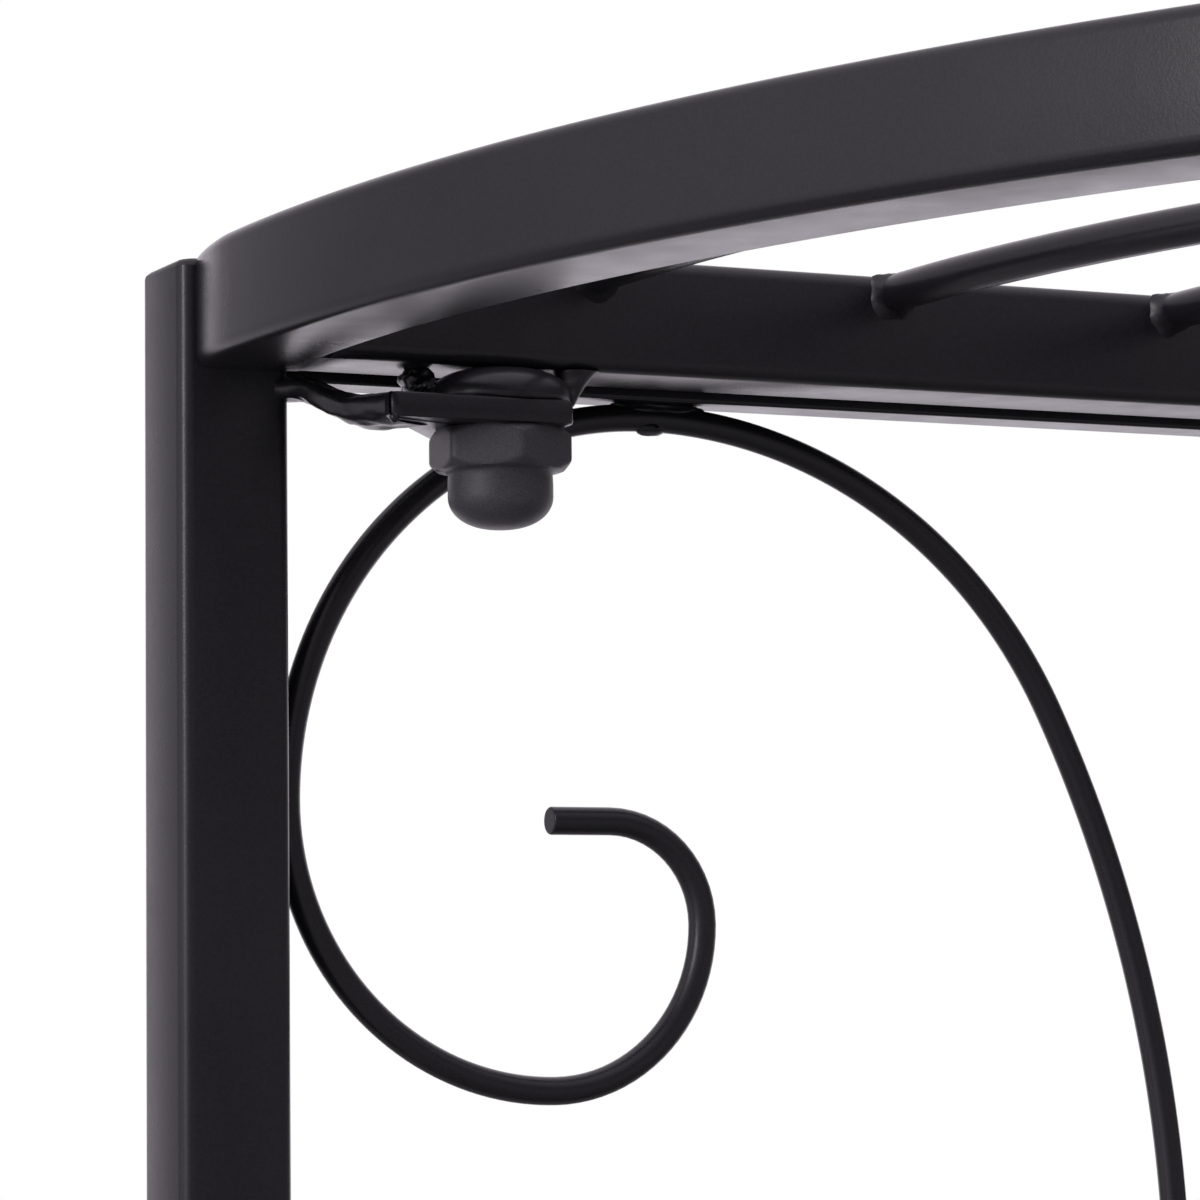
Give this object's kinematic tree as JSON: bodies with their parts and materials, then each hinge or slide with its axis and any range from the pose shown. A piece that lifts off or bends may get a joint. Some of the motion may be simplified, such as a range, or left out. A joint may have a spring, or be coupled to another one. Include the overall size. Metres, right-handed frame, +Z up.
{
  "type": "plant stand",
  "caption": "Half-round tiered plant stand in black square steel tube, with wire shelves bolted by cap nuts to a rear frame with wire scrollwork.",
  "frame": {"origin": "on the floor, at the centre of the stand's outer box", "axes": "+Z up; the shelves' straight side and the scrollwork face +Y, the half-round side faces -Y; X is the width"},
  "size_m": [0.5, 0.274, 0.72],
  "materials": {
    "powder_black": "satin black powder coat on mild steel",
    "nut_black": "black zinc plated steel with a fine matt grain",
    "plastic_black": "matt black moulded polyethylene"
  },
  "bodies": {
    "root": {"rear_post_left": "powder_black", "rear_post_right": "powder_black", "front_leg_left": "powder_black", "front_leg_right": "powder_black", "top_plugs": "plastic_black", "foot_plugs": "plastic_black", "lower_shelf_rim": "powder_black", "lower_shelf_rail": "powder_black", "lower_shelf_wires": "powder_black", "lower_shelf_braces": "powder_black", "lower_rear_bar": "powder_black", "lower_rear_tabs": "powder_black", "lower_leg_tabs": "powder_black", "lower_studs": "powder_black", "lower_cap_nuts": "nut_black", "middle_shelf_rim": "powder_black", "middle_shelf_rail": "powder_black", "middle_shelf_wires": "powder_black", "middle_shelf_braces": "powder_black", "middle_rear_bar": "powder_black", "middle_rear_tabs": "powder_black", "middle_leg_tabs": "powder_black", "middle_studs": "powder_black", "middle_cap_nuts": "nut_black", "upper_shelf_rim": "powder_black", "upper_shelf_rail": "powder_black", "upper_shelf_wires": "powder_black", "upper_shelf_braces": "powder_black", "upper_rear_bar": "powder_black", "upper_rear_tabs": "powder_black", "upper_leg_tabs": "powder_black", "upper_studs": "powder_black", "upper_cap_nuts": "nut_black", "lower_scroll_bar": "powder_black", "lower_scroll_collars": "powder_black", "lower_scroll_1": "powder_black", "lower_scroll_2": "powder_black", "lower_scroll_3": "powder_black", "lower_scroll_4": "powder_black", "upper_scroll_bar": "powder_black", "upper_scroll_collars": "powder_black", "upper_scroll_1": "powder_black", "upper_scroll_2": "powder_black", "upper_scroll_3": "powder_black", "upper_scroll_4": "powder_black"}
  },
  "joints": []
}
